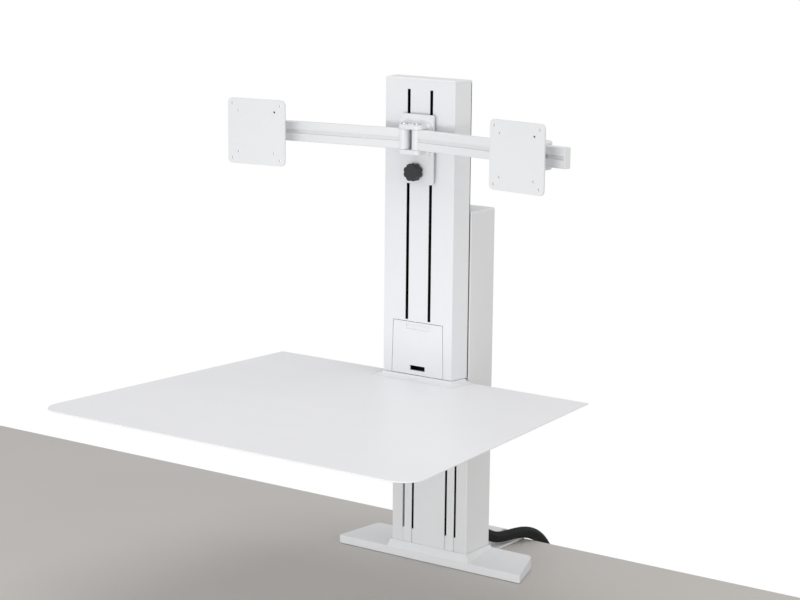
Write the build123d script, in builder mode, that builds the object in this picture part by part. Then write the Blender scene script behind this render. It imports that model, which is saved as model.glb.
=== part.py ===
"""Standing desk converter: a clamped lift column carries a keyboard tray and two screen heads."""
import os
from math import cos, pi, radians, sin, tan

from build123d import *

os.makedirs("parts", exist_ok=True)

# Frame: +X to the user's right, +Y away from the user, +Z up.
# The origin is on the desk's surface, in the middle of the column's front face.

# ---- foot on the desk ----
PAD_T = 1.0
PLATE_T = 4.0
PLATE_TOP = PAD_T + PLATE_T
DESK_EDGE_Y = 236.0
TONGUE_HALF = 66.0
DESK_T = 30.0
FOOT_FRONT_W = 412.0
FOOT_REAR_W = 352.0
FOOT_FRONT_Y = -6.0
FOOT_REAR_Y = 84.0
FOOT_FRONT_H = 16.0
FOOT_REAR_H = 25.0
COLLAR_TOP = 31.0
COLLAR_FLARE = 4.5
WALL = 3.0

# ---- fixed column ----
COL_W = 168.0
COL_D = 78.0
COL_TOP = 666.0
CAP_T = 6.0
WEB_Y = 58.0
REAR_COVER_Y = 75.0
PANEL_HALF = 35.2
RAIL_IN = 39.5
RAIL_OUT = 56.0
LIP_IN = 60.5
LIP_T = 2.0
LIP_DEPTH = 9.2
BEAD_W = 8.0
RAIL_X = (RAIL_IN + RAIL_OUT) / 2
BLOCK_TOP = 46.0
STOP_TOP = 58.0
HEAD_BLOCK_Z = 646.0

# ---- lift carriage ----
LIFT_Z = 366.0
LIFT_H = 120.0
FRONT_PLATE_T = 4.0
FRONT_PLATE_Y = -4.0
AXLE_Y = 36.5
AXLE_Z = 450.0
AXLE_R = 4.0
SPOOL_R = 10.0
COIL_R = 17.0
STRIP_W = 24.0
STRIP_T = 0.5
SPOOL_X = 19.0
RUN_GAP = 0.05

# ---- tray ----
TRAY_TOP = 360.0
TRAY_T = 5.0
TRAY_EDGE = 1.6
TRAY_UNDERCUT = 70
TRAY_REAR_Y = -8.0
TRAY_DEPTH = 614.0
TRAY_REAR_W = 684.0
TRAY_FRONT_W = 790.0

# ---- moving housing ----
HOUSE_HALF_FRONT = 75.5
HOUSE_HALF_BACK = 82.3
HOUSE_FRONT_Y = -44.0
HOUSE_BACK_Y = -2.2
COLLAR_Z = 367.0
COLLAR_FLARE_W = 18.0
HOUSE_Z = 367.8
HOUSE_TOP = 905.0
HOUSE_R = 5.5
HOUSE_SLOT_X = 24.5
HOUSE_SLOT_W = 6.4
HOUSE_SLOT_Z = 470.0
HOUSE_SLOT_TOP = 890.0
COVER_Z = 367.9
COVER_TOP = 466.0
COVER_HALF_TOP = 54.0
COVER_HALF_FOOT = 56.5
COVER_GAP = 0.8
COVER_PIVOT_Z = 371.0
COVER_PIN_R = 0.8
SPINE_Y = -12.0
SPINE_HALF = 77.3

# ---- screen carrier ----
BAR_Z = 804.0
HUB_Y = -54.0
PIVOT_X = 14.0
PIVOT_Y = -72.0
PIN_R = 4.0
TOE_IN = 8.0
ARM_T = 14.0
ARM_H = 36.0
ARM_LEN = 340.0
HEAD_OUT = 276.0
VESA_SIZE = 120.0
VESA_OUT = 53.0
VESA_HOLE_R = 2.25
TILT_OUT = 27.0

# ---- desk clamp ----
CLAMP_X = 28.0
CLAMP_Y = 205.0
CLAMP_HALF = 38.0
CLAMP_BOLT_Y = 221.0
JAW_Z = -85.0
JAW_T = 6.0
SCREW_R = 5.0

# ---- cable sleeve ----
SLEEVE_D = 23.0
GLAND_X = 34.0
GLAND_Z = 46.0

SIDES = (("left", -1), ("right", 1))
TOE_SIN = sin(radians(TOE_IN))
TOE_COS = cos(radians(TOE_IN))


def head_plane(sign, out, forward):
    """Plane on one screen arm: x to the right along the arm, y up, z towards the user."""
    x = sign * (PIVOT_X + out * TOE_COS - forward * TOE_SIN)
    y = PIVOT_Y - out * TOE_SIN - forward * TOE_COS
    across = (TOE_COS, -sign * TOE_SIN, 0)
    towards_user = (-sign * TOE_SIN, -TOE_COS, 0)
    return Plane(origin=(x, y, BAR_Z), x_dir=across, z_dir=towards_user)


def box_between(x0, x1, y0, y1, z0, z1):
    """Box from its six limits, added to the block that calls it."""
    with Locations(((x0 + x1) / 2, (y0 + y1) / 2, (z0 + z1) / 2)):
        Box(x1 - x0, y1 - y0, z1 - z0)


def cut_between(x0, x1, y0, y1, z0, z1):
    """The same box, cut away."""
    with Locations(((x0 + x1) / 2, (y0 + y1) / 2, (z0 + z1) / 2)):
        Box(x1 - x0, y1 - y0, z1 - z0, mode=Mode.SUBTRACT)


# ======================= foot on the desk =======================

PAD_SPOTS = [(0, 39), (-125, 39), (125, 39), (0, 160)]
BASE_SCREW_SPOTS = [(x, y) for x in (-55, 55) for y in (16, 50)]

with BuildPart() as desk_pads:
    with BuildSketch():
        with Locations(PAD_SPOTS[0]):
            RectangleRounded(140, 80, 4)
        with Locations(PAD_SPOTS[1], PAD_SPOTS[2]):
            RectangleRounded(60, 60, 4)
        with Locations(PAD_SPOTS[3]):
            RectangleRounded(120, 90, 4)
    extrude(amount=PAD_T)
desk_pads.part.label = "desk_pads"
export_step(desk_pads.part, "parts/desk_pads.step")

with BuildPart() as base_plate:
    with BuildSketch(Plane.XY.offset(PAD_T)):
        with Locations((0, 39)):
            RectangleRounded(330, 80, 6)
        with Locations((0, (60 + DESK_EDGE_Y) / 2)):
            Rectangle(2 * TONGUE_HALF, DESK_EDGE_Y - 60)
        with Locations(BASE_SCREW_SPOTS):
            Circle(3.3, mode=Mode.SUBTRACT)
        with Locations((-CLAMP_X, CLAMP_BOLT_Y), (CLAMP_X, CLAMP_BOLT_Y)):
            Circle(3.3, mode=Mode.SUBTRACT)
    extrude(amount=PLATE_T)
    rear_corners = base_plate.edges().filter_by(Axis.Z).group_by(Axis.Y)[-1]
    fillet(rear_corners, radius=5)
base_plate.part.label = "base_plate"
export_step(base_plate.part, "parts/base_plate.step")


def foot_outline(inset):
    """Plan of the foot cover: wider at the front than at the rear."""
    front, rear = FOOT_FRONT_W / 2 - inset, FOOT_REAR_W / 2 - inset
    near, far = FOOT_FRONT_Y + inset, FOOT_REAR_Y - inset
    return Polygon((-front, near), (front, near), (rear, far), (-rear, far), align=None)


def column_opening(grow):
    """Rectangle round the column's section, larger by grow on each side."""
    with Locations((0, COL_D / 2)):
        Rectangle(COL_W + 2 * grow, COL_D + 2 * grow)


with BuildPart() as foot_cover:
    with BuildSketch(Plane.XY.offset(PAD_T)):
        add(foot_outline(0))
    extrude(amount=FOOT_REAR_H + 10)
    upright_edges = foot_cover.edges().filter_by(Axis.Z)
    fillet(upright_edges.group_by(Axis.Y)[-1], radius=12)
    fillet(upright_edges.group_by(Axis.Y)[0], radius=3)
    with BuildSketch(Plane.YZ):
        with BuildLine():
            Polyline(
                (FOOT_FRONT_Y - 5, FOOT_FRONT_H - 0.5),
                (FOOT_REAR_Y + 5, FOOT_REAR_H + 0.5),
                (FOOT_REAR_Y + 5, FOOT_REAR_H + 60),
                (FOOT_FRONT_Y - 5, FOOT_REAR_H + 60),
                close=True,
            )
        make_face()
    extrude(amount=FOOT_FRONT_W, both=True, mode=Mode.SUBTRACT)
    top_face = foot_cover.faces().sort_by(Axis.Z)[-1]
    fillet(top_face.edges(), radius=1.5)
    with BuildSketch(Plane.XY.offset(FOOT_FRONT_H - 0.5)):
        with Locations((0, (FOOT_FRONT_Y + COL_D + 5) / 2)):
            Rectangle(COL_W + 4 * COLLAR_FLARE, COL_D + 5 - FOOT_FRONT_Y)
    with BuildSketch(Plane.XY.offset(COLLAR_TOP)):
        column_opening(1.7)
    loft()
    with BuildSketch(Plane.XY):
        add(foot_outline(WALL))
    extrude(amount=FOOT_FRONT_H - WALL, mode=Mode.SUBTRACT)
    with BuildSketch(Plane.XY):
        column_opening(0.6)
    extrude(amount=COLLAR_TOP + 5, mode=Mode.SUBTRACT)
    cut_between(-TONGUE_HALF - 0.5, TONGUE_HALF + 0.5, 70, FOOT_REAR_Y + 5, 0, PLATE_TOP + 0.5)
    cut_between(GLAND_X - 19, GLAND_X + 19, 70, FOOT_REAR_Y + 5, 0, COLLAR_TOP + 1)
foot_cover.part.label = "foot_cover"
export_step(foot_cover.part, "parts/foot_cover.step")

with BuildPart() as column_foot_block:
    box_between(-78, 78, 9.5, 56, PLATE_TOP, BLOCK_TOP)
    fillet(column_foot_block.edges().filter_by(Axis.Z), radius=4)
    with Locations((0, 33, BLOCK_TOP)):
        Box(60, 30, 50, mode=Mode.SUBTRACT)
    for spot_x, spot_y in BASE_SCREW_SPOTS:
        with Locations((spot_x, spot_y + 4, PLATE_TOP)):
            Cylinder(3, 40, mode=Mode.SUBTRACT)
column_foot_block.part.label = "column_foot_block"
export_step(column_foot_block.part, "parts/column_foot_block.step")

with BuildPart() as desk_clamp_bracket:
    box_between(-CLAMP_HALF, CLAMP_HALF, 208, DESK_EDGE_Y + 6, PLATE_TOP, PLATE_TOP + 5)
    box_between(-CLAMP_HALF, CLAMP_HALF, DESK_EDGE_Y + 1, DESK_EDGE_Y + 6, JAW_Z, PLATE_TOP + 5)
    box_between(-CLAMP_HALF, CLAMP_HALF, 182, DESK_EDGE_Y + 6, JAW_Z, JAW_Z + JAW_T)
    fillet(desk_clamp_bracket.edges().filter_by(Axis.X).group_by(Axis.Y)[-1], radius=4)
    for clamp_x in (-CLAMP_X, CLAMP_X):
        with Locations((clamp_x, CLAMP_Y, JAW_Z + JAW_T / 2)):
            Cylinder(SCREW_R + RUN_GAP, JAW_T + 2, mode=Mode.SUBTRACT)
        with Locations((clamp_x, CLAMP_BOLT_Y, PLATE_TOP + 2)):
            Cylinder(3.3, 10, mode=Mode.SUBTRACT)
desk_clamp_bracket.part.label = "desk_clamp_bracket"
export_step(desk_clamp_bracket.part, "parts/desk_clamp_bracket.step")

with BuildPart() as base_fasteners:
    with BuildSketch(Plane.XY.offset(PAD_T)):
        with Locations((-CLAMP_X, CLAMP_BOLT_Y), (CLAMP_X, CLAMP_BOLT_Y)):
            Circle(3.3)
    extrude(amount=PLATE_T + 5)
    with BuildSketch(Plane.XY.offset(PLATE_TOP + 5)):
        with Locations((-CLAMP_X, CLAMP_BOLT_Y), (CLAMP_X, CLAMP_BOLT_Y)):
            Circle(6)
    extrude(amount=3.4)
    with BuildSketch(Plane.XY.offset(PLATE_TOP + 8.4)):
        with Locations((-CLAMP_X, CLAMP_BOLT_Y), (CLAMP_X, CLAMP_BOLT_Y)):
            RegularPolygon(2.6, 6)
    extrude(amount=-2, mode=Mode.SUBTRACT)
    with BuildSketch(Plane.XY.offset(PAD_T)):
        with Locations(BASE_SCREW_SPOTS):
            Circle(3.3)
    extrude(amount=PLATE_T)
base_fasteners.part.label = "base_fasteners"
export_step(base_fasteners.part, "parts/base_fasteners.step")

# ======================= desk clamp screws =======================

for side, sign in SIDES:
    x = sign * CLAMP_X
    pad_top = -DESK_T
    with BuildPart() as clamp_pad:
        with BuildSketch(Plane.XY.offset(pad_top - 9)):
            with Locations((x, CLAMP_Y)):
                Circle(21)
        extrude(amount=9, taper=8)
        fillet(clamp_pad.edges().group_by(Axis.Z)[-1], radius=1)
        with Locations((x, CLAMP_Y, pad_top - 6)):
            Cylinder(SCREW_R - 1 + RUN_GAP, 6, mode=Mode.SUBTRACT)
    clamp_pad.part.label = f"clamp_pad_{side}"
    export_step(clamp_pad.part, f"parts/clamp_pad_{side}.step")

    screw_top = pad_top - 3.2
    knob_top = JAW_Z - 34
    with BuildPart() as clamp_screw:
        with BuildSketch(Plane.XY.offset(knob_top)):
            with Locations((x, CLAMP_Y)):
                Circle(SCREW_R)
        extrude(amount=pad_top - 10 - knob_top)
        with BuildSketch(Plane.XY.offset(pad_top - 10)):
            with Locations((x, CLAMP_Y)):
                Circle(SCREW_R - 1)
        extrude(amount=screw_top - pad_top + 10)
    clamp_screw.part.label = f"clamp_screw_{side}"
    export_step(clamp_screw.part, f"parts/clamp_screw_{side}.step")

    with BuildPart() as clamp_knob:
        with BuildSketch(Plane.XY.offset(knob_top - 16)):
            with Locations((x, CLAMP_Y)):
                Circle(21)
                with PolarLocations(24.5, 6):
                    Circle(8, mode=Mode.SUBTRACT)
        extrude(amount=16)
        fillet(clamp_knob.edges().group_by(Axis.Z)[0], radius=1.5)
        with BuildSketch(Plane.XY.offset(knob_top)):
            with Locations((x, CLAMP_Y)):
                Circle(9)
                Circle(SCREW_R, mode=Mode.SUBTRACT)
        extrude(amount=8)
    clamp_knob.part.label = f"clamp_knob_{side}"
    export_step(clamp_knob.part, f"parts/clamp_knob_{side}.step")

# ======================= fixed column =======================

with BuildPart() as column_shell:
    with BuildSketch(Plane.XY.offset(PLATE_TOP)):
        with Locations((0, REAR_COVER_Y / 2)):
            Rectangle(COL_W, REAR_COVER_Y)
        with Locations((0, (WALL + WEB_Y) / 2)):
            Rectangle(COL_W - 2 * WALL, WEB_Y - WALL, mode=Mode.SUBTRACT)
        with Locations((0, WALL / 2)):
            Rectangle(2 * LIP_IN, WALL, mode=Mode.SUBTRACT)
        with Locations((0, (WEB_Y + WALL + REAR_COVER_Y) / 2)):
            Rectangle(COL_W - 2 * WALL, REAR_COVER_Y - WEB_Y - WALL, mode=Mode.SUBTRACT)
        for lip_x in (-LIP_IN - LIP_T / 2, LIP_IN + LIP_T / 2):
            with Locations((lip_x, LIP_DEPTH / 2)):
                Rectangle(LIP_T, LIP_DEPTH)
    extrude(amount=COL_TOP - PLATE_TOP)
    front_corners = column_shell.edges().filter_by(Axis.Z).group_by(Axis.Y)[0].sort_by(Axis.X)
    fillet([front_corners[0], front_corners[-1]], radius=1.6)
column_shell.part.label = "column_shell"
export_step(column_shell.part, "parts/column_shell.step")

with BuildPart() as column_front_panel:
    box_between(-PANEL_HALF, PANEL_HALF, 0, WALL, PLATE_TOP, COL_TOP)
    for rib_x in (-26, 26):
        box_between(rib_x - 1.5, rib_x + 1.5, WALL, 9, BLOCK_TOP, HEAD_BLOCK_Z)
    panel_edges = column_front_panel.edges().filter_by(Axis.Z).group_by(Axis.Y)[0]
    fillet(panel_edges, radius=0.8)
column_front_panel.part.label = "column_front_panel"
export_step(column_front_panel.part, "parts/column_front_panel.step")

for side, sign in SIDES:
    with BuildPart() as guide_rail:
        with BuildSketch(Plane.XY.offset(PLATE_TOP)):
            with Locations((sign * RAIL_X, WALL / 2)):
                Rectangle(RAIL_OUT - RAIL_IN, WALL)
            with Locations((sign * RAIL_X, 6)):
                Rectangle(BEAD_W - 3, 2 * WALL)
            with Locations((sign * RAIL_X, 7.5)):
                Rectangle(BEAD_W, WALL)
        extrude(amount=COL_TOP - PLATE_TOP)
        rail_edges = guide_rail.edges().filter_by(Axis.Z).group_by(Axis.Y)[0]
        fillet(rail_edges, radius=0.8)
    guide_rail.part.label = f"guide_rail_{side}"
    export_step(guide_rail.part, f"parts/guide_rail_{side}.step")

with BuildPart() as slot_stops:
    for low_x, high_x in (
        (-LIP_IN, -RAIL_OUT),
        (-RAIL_IN, -PANEL_HALF),
        (PANEL_HALF, RAIL_IN),
        (RAIL_OUT, LIP_IN),
    ):
        box_between(low_x, high_x, 0.9, 7, PLATE_TOP, STOP_TOP)
slot_stops.part.label = "slot_stops"
export_step(slot_stops.part, "parts/slot_stops.step")

with BuildPart() as column_head_block:
    box_between(-78, 78, 9.5, WEB_Y, HEAD_BLOCK_Z, COL_TOP)
    fillet(column_head_block.edges().filter_by(Axis.Z), radius=4)
    cut_between(-36, 36, 20, 46, HEAD_BLOCK_Z - 1, COL_TOP + 1)
    strip_y = AXLE_Y + COIL_R + 0.2
    for strip_x in (-SPOOL_X, SPOOL_X):
        half = STRIP_W / 2
        cut_between(strip_x - half, strip_x + half, strip_y, strip_y + STRIP_T, HEAD_BLOCK_Z - 1, COL_TOP + 1)
column_head_block.part.label = "column_head_block"
export_step(column_head_block.part, "parts/column_head_block.step")

with BuildPart() as column_top_cap:
    with BuildSketch(Plane.XY.offset(COL_TOP)):
        with Locations((0, COL_D / 2)):
            RectangleRounded(COL_W, COL_D, 1.6)
    extrude(amount=CAP_T)
    fillet(column_top_cap.edges().group_by(Axis.Z)[-1], radius=2)
column_top_cap.part.label = "column_top_cap"
export_step(column_top_cap.part, "parts/column_top_cap.step")

with BuildPart() as column_rear_cover:
    with BuildSketch(Plane.XY.offset(COLLAR_TOP + 1)):
        with Locations((0, (REAR_COVER_Y + COL_D) / 2)):
            Rectangle(COL_W, COL_D - REAR_COVER_Y)
        for clip_x in (-79, 79):
            with Locations((clip_x, (WEB_Y + WALL + REAR_COVER_Y) / 2)):
                Rectangle(2, REAR_COVER_Y - WEB_Y - WALL)
    extrude(amount=COL_TOP - COLLAR_TOP - 1)
    rear_edges = column_rear_cover.edges().filter_by(Axis.Z).group_by(Axis.Y)[-1]
    fillet(rear_edges, radius=1.6)
    with BuildSketch(Plane.XZ.offset(-COL_D - 1)):
        with Locations((GLAND_X, GLAND_Z)):
            Circle(SLEEVE_D / 2 + 4)
    extrude(amount=6, mode=Mode.SUBTRACT)
column_rear_cover.part.label = "column_rear_cover"
export_step(column_rear_cover.part, "parts/column_rear_cover.step")

# ======================= lift carriage and its springs =======================

WEB_T = 3.0
INNER_WEB_X = (PANEL_HALF + RAIL_IN) / 2
OUTER_WEB_X = (RAIL_OUT + LIP_IN) / 2

with BuildPart() as lift_carriage:
    box_between(-76, 76, 12.5, 56, LIFT_Z, LIFT_Z + LIFT_H)
    fillet(lift_carriage.edges().filter_by(Axis.Z), radius=3)
    cut_between(-68, 68, 19, 60, LIFT_Z + 8, LIFT_Z + LIFT_H + 1)
    for web_x in (-OUTER_WEB_X, -INNER_WEB_X, INNER_WEB_X, OUTER_WEB_X):
        half = WEB_T / 2
        box_between(web_x - half, web_x + half, FRONT_PLATE_Y, 14, LIFT_Z + 10, LIFT_Z + LIFT_H - 10)
    with Locations(Location((0, AXLE_Y, AXLE_Z), (0, 90, 0))):
        Cylinder(AXLE_R + RUN_GAP, 160, mode=Mode.SUBTRACT)
lift_carriage.part.label = "lift_carriage"
export_step(lift_carriage.part, "parts/lift_carriage.step")

with BuildPart() as carriage_glides:
    for glide_x in (-RAIL_X, RAIL_X):
        for glide_z in (LIFT_Z + 12, LIFT_Z + LIFT_H - 12):
            box_between(glide_x - 7.4, glide_x + 7.4, 3.5, 12.5, glide_z - 10, glide_z + 10)
            cut_between(glide_x - 4.3, glide_x + 4.3, 3, 9.3, glide_z - 11, glide_z + 11)
carriage_glides.part.label = "carriage_glides"
export_step(carriage_glides.part, "parts/carriage_glides.step")

with BuildPart() as spring_axle:
    with Locations(Location((0, AXLE_Y, AXLE_Z), (0, 90, 0))):
        Cylinder(AXLE_R, 152)
spring_axle.part.label = "spring_axle"
export_step(spring_axle.part, "parts/spring_axle.step")

with BuildPart() as spring_spools:
    for spool_x in (-SPOOL_X, SPOOL_X):
        with Locations(Location((spool_x, AXLE_Y, AXLE_Z), (0, 90, 0))):
            Cylinder(SPOOL_R, STRIP_W + 4)
        for flange_x in (-STRIP_W / 2 - 1, STRIP_W / 2 + 1):
            with Locations(Location((spool_x + flange_x, AXLE_Y, AXLE_Z), (0, 90, 0))):
                Cylinder(COIL_R - 2, 2)
    with Locations(Location((0, AXLE_Y, AXLE_Z), (0, 90, 0))):
        Cylinder(AXLE_R, 100, mode=Mode.SUBTRACT)
spring_spools.part.label = "spring_spools"
export_step(spring_spools.part, "parts/spring_spools.step")

with BuildPart() as spring_coils:
    for spool_x in (-SPOOL_X, SPOOL_X):
        with Locations(Location((spool_x, AXLE_Y, AXLE_Z), (0, 90, 0))):
            Cylinder(COIL_R, STRIP_W - 0.1)
            Cylinder(SPOOL_R + RUN_GAP, STRIP_W, mode=Mode.SUBTRACT)
spring_coils.part.label = "spring_coils"
export_step(spring_coils.part, "parts/spring_coils.step")

with BuildPart() as spring_strips:
    for strip_x in (-SPOOL_X, SPOOL_X):
        half = STRIP_W / 2
        box_between(strip_x - half, strip_x + half, strip_y, strip_y + STRIP_T, AXLE_Z, COL_TOP - 2)
spring_strips.part.label = "spring_strips"
export_step(spring_strips.part, "parts/spring_strips.step")

PLATE_SCREW_Z = (LIFT_Z + 30, LIFT_Z + LIFT_H - 30)

with BuildPart() as lift_front_plate:
    front_y = FRONT_PLATE_Y - FRONT_PLATE_T
    box_between(-66, 66, front_y, FRONT_PLATE_Y, 335, LIFT_Z + LIFT_H)
    fillet(lift_front_plate.edges().filter_by(Axis.Y), radius=4)
    for screw_x in (-OUTER_WEB_X, OUTER_WEB_X):
        for screw_z in PLATE_SCREW_Z:
            with Locations(Location((screw_x, FRONT_PLATE_Y, screw_z), (90, 0, 0))):
                Cylinder(1.2, 20, mode=Mode.SUBTRACT)
lift_front_plate.part.label = "lift_front_plate"
export_step(lift_front_plate.part, "parts/lift_front_plate.step")

# ======================= tray =======================

TRAY_FRONT_Y = TRAY_REAR_Y - TRAY_DEPTH
TRAY_SCREW_SPOTS = [(x, y) for x in (-100, 100) for y in (-70, -250, -430)]

with BuildPart() as tray:
    with BuildSketch(Plane.XY.offset(TRAY_TOP - TRAY_EDGE)) as tray_plan:
        with BuildLine():
            Polyline(
                (-TRAY_REAR_W / 2, TRAY_REAR_Y),
                (TRAY_REAR_W / 2, TRAY_REAR_Y),
                (TRAY_FRONT_W / 2, TRAY_FRONT_Y),
                (-TRAY_FRONT_W / 2, TRAY_FRONT_Y),
                close=True,
            )
        make_face()
        plan_corners = tray_plan.vertices().group_by(Axis.Y)
        fillet(plan_corners[0], radius=42)
        fillet(plan_corners[-1], radius=13)
    extrude(amount=TRAY_EDGE)
    extrude(tray_plan.sketch, amount=TRAY_EDGE - TRAY_T, taper=TRAY_UNDERCUT)
    fillet(tray.faces().sort_by(Axis.Z)[-1].edges(), radius=0.6)
    with Locations([(x, y, TRAY_TOP - TRAY_T) for x, y in TRAY_SCREW_SPOTS]):
        Cylinder(2, 6, mode=Mode.SUBTRACT)
tray.part.label = "tray"
export_step(tray.part, "parts/tray.step")

ARM_CHANNEL_H = 12.0
TRAY_UNDER = TRAY_TOP - TRAY_T

with BuildPart() as tray_arms:
    with BuildSketch(Plane.XZ.offset(20)):
        with Locations((-100, TRAY_UNDER - ARM_CHANNEL_H / 2), (100, TRAY_UNDER - ARM_CHANNEL_H / 2)):
            Rectangle(34, ARM_CHANNEL_H)
        with Locations(
            (-100, TRAY_UNDER - ARM_CHANNEL_H / 2 - 2), (100, TRAY_UNDER - ARM_CHANNEL_H / 2 - 2)
        ):
            Rectangle(30, ARM_CHANNEL_H, mode=Mode.SUBTRACT)
    extrude(amount=480)
    with Locations([(x, y, TRAY_UNDER) for x, y in TRAY_SCREW_SPOTS]):
        Cylinder(2, 6, mode=Mode.SUBTRACT)
tray_arms.part.label = "tray_arms"
export_step(tray_arms.part, "parts/tray_arms.step")

with BuildPart() as tray_bracket:
    box_between(-83, 83, -150, FRONT_PLATE_Y - FRONT_PLATE_T, TRAY_UNDER - 3, TRAY_UNDER)
    back_y = FRONT_PLATE_Y - FRONT_PLATE_T
    box_between(-62, 62, back_y - 4, back_y, 337, TRAY_UNDER)
    for rib_x in (-80, 80):
        with BuildSketch(Plane.YZ.offset(rib_x - 3)):
            with BuildLine():
                Polyline(
                    (back_y, TRAY_UNDER),
                    (-150, TRAY_UNDER),
                    (-150, TRAY_UNDER - 5),
                    (-60, 338),
                    (back_y, 338),
                    close=True,
                )
            make_face()
        extrude(amount=6)
tray_bracket.part.label = "tray_bracket"
export_step(tray_bracket.part, "parts/tray_bracket.step")

COLLAR_STEPS = 8
HOUSE_LEAN = (HOUSE_HALF_BACK - HOUSE_HALF_FRONT) / (HOUSE_BACK_Y - HOUSE_FRONT_Y)


def house_plan(grow, front_y, back_y):
    """Plan of the housing, wider at its back, with its sides moved out by grow."""
    near = HOUSE_HALF_FRONT + HOUSE_LEAN * (front_y - HOUSE_FRONT_Y) + grow
    far = HOUSE_HALF_FRONT + HOUSE_LEAN * (back_y - HOUSE_FRONT_Y) + grow
    return Polygon((-near, front_y), (near, front_y), (far, back_y), (-far, back_y), align=None)


with BuildPart() as tray_collar:
    for step in range(COLLAR_STEPS):
        share = step / (COLLAR_STEPS - 1)
        grow = COLLAR_FLARE_W * (1 - share) ** 2.4 + 0.7
        with BuildSketch(Plane.XY.offset(TRAY_TOP + share * (COLLAR_Z - TRAY_TOP))):
            plan = add(house_plan(grow, HOUSE_FRONT_Y - grow, TRAY_REAR_Y))
            fillet(plan.vertices().group_by(Axis.Y)[0], radius=HOUSE_R + 0.9 * grow)
    loft(ruled=True)
    cut_between(-70, 70, HOUSE_FRONT_Y + 5, TRAY_REAR_Y + 1, TRAY_TOP - 1, COLLAR_Z + 1)
tray_collar.part.label = "tray_collar"
export_step(tray_collar.part, "parts/tray_collar.step")

# ======================= moving housing =======================


def access_cover_outline(gap):
    """Front view of the access cover, narrower at its top, grown by gap."""
    foot, top = COVER_HALF_FOOT + gap, COVER_HALF_TOP + gap
    low, high = COVER_Z - gap, COVER_TOP + gap
    return Polygon((-foot, low), (foot, low), (top, high), (-top, high), align=None)


with BuildPart() as front_housing:
    with BuildSketch(Plane.XY.offset(HOUSE_Z)):
        outer = add(house_plan(0, HOUSE_FRONT_Y, HOUSE_BACK_Y))
        fillet(outer.vertices().group_by(Axis.Y)[0], radius=HOUSE_R)
    extrude(amount=HOUSE_TOP - HOUSE_Z)
    with BuildSketch(Plane.XY.offset(HOUSE_Z)):
        inner = add(house_plan(-WALL, HOUSE_FRONT_Y + WALL, HOUSE_BACK_Y + 5))
        fillet(inner.vertices().group_by(Axis.Y)[0], radius=HOUSE_R - WALL)
    extrude(amount=HOUSE_TOP - HOUSE_Z, mode=Mode.SUBTRACT)
    for slot_x in (-HOUSE_SLOT_X, HOUSE_SLOT_X):
        half = HOUSE_SLOT_W / 2
        cut_between(slot_x - half, slot_x + half, -50, -40, HOUSE_SLOT_Z, HOUSE_SLOT_TOP)
    with BuildSketch(Plane.XZ.offset(-HOUSE_FRONT_Y - WALL - 1)):
        opening = add(access_cover_outline(COVER_GAP))
        fillet(opening.vertices().group_by(Axis.Y)[-1], radius=4.5)
    extrude(amount=WALL + 2, mode=Mode.SUBTRACT)
    with Locations(Location((0, HOUSE_FRONT_Y + WALL / 2, COVER_PIVOT_Z), (0, 90, 0))):
        Cylinder(COVER_PIN_R + RUN_GAP, 2 * COVER_HALF_FOOT + 8, mode=Mode.SUBTRACT)
front_housing.part.label = "front_housing"
export_step(front_housing.part, "parts/front_housing.step")

with BuildPart() as housing_top_cap:
    with BuildSketch(Plane.XY.offset(HOUSE_TOP)):
        cap = add(house_plan(0, HOUSE_FRONT_Y, HOUSE_BACK_Y))
        fillet(cap.vertices().group_by(Axis.Y)[0], radius=HOUSE_R)
    extrude(amount=5)
    fillet(housing_top_cap.edges().group_by(Axis.Z)[-1], radius=2)
housing_top_cap.part.label = "housing_top_cap"
export_step(housing_top_cap.part, "parts/housing_top_cap.step")

with BuildPart() as housing_spine:
    box_between(-SPINE_HALF, SPINE_HALF, SPINE_Y, SPINE_Y + 4, HOUSE_Z + 1, HOUSE_TOP)
    for flange_x in (-68, 68):
        box_between(flange_x - 2, flange_x + 2, -36, SPINE_Y, HOUSE_Z + 1, HOUSE_TOP)
    cut_between(-16, 16, SPINE_Y - 1, SPINE_Y + 5, HOUSE_Z + 24, HOUSE_Z + 56)
    for screw_x in (-OUTER_WEB_X, OUTER_WEB_X):
        for screw_z in PLATE_SCREW_Z:
            with Locations(Location((screw_x, SPINE_Y, screw_z), (90, 0, 0))):
                Cylinder(1.2, 20, mode=Mode.SUBTRACT)
housing_spine.part.label = "housing_spine"
export_step(housing_spine.part, "parts/housing_spine.step")

with BuildPart() as lift_fasteners:
    for screw_x in (-OUTER_WEB_X, OUTER_WEB_X):
        for screw_z in PLATE_SCREW_Z:
            with Locations(Location((screw_x, SPINE_Y, screw_z), (90, 0, 0))):
                Cylinder(3.6, 2.4, align=(Align.CENTER, Align.CENTER, Align.MIN))
            with Locations(Location((screw_x, SPINE_Y + 4, screw_z), (90, 0, 0))):
                Cylinder(1.2, 8)
    with BuildSketch(Plane.XY.offset(TRAY_UNDER - 4.2)):
        with Locations(TRAY_SCREW_SPOTS):
            Circle(4.5)
    extrude(amount=2.2)
    with BuildSketch(Plane.XY.offset(TRAY_UNDER - 2)):
        with Locations(TRAY_SCREW_SPOTS):
            Circle(2)
    extrude(amount=5)
lift_fasteners.part.label = "lift_fasteners"
export_step(lift_fasteners.part, "parts/lift_fasteners.step")

NOTCH_HALF = 26.0
CABLE_HALF = 16.5

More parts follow.
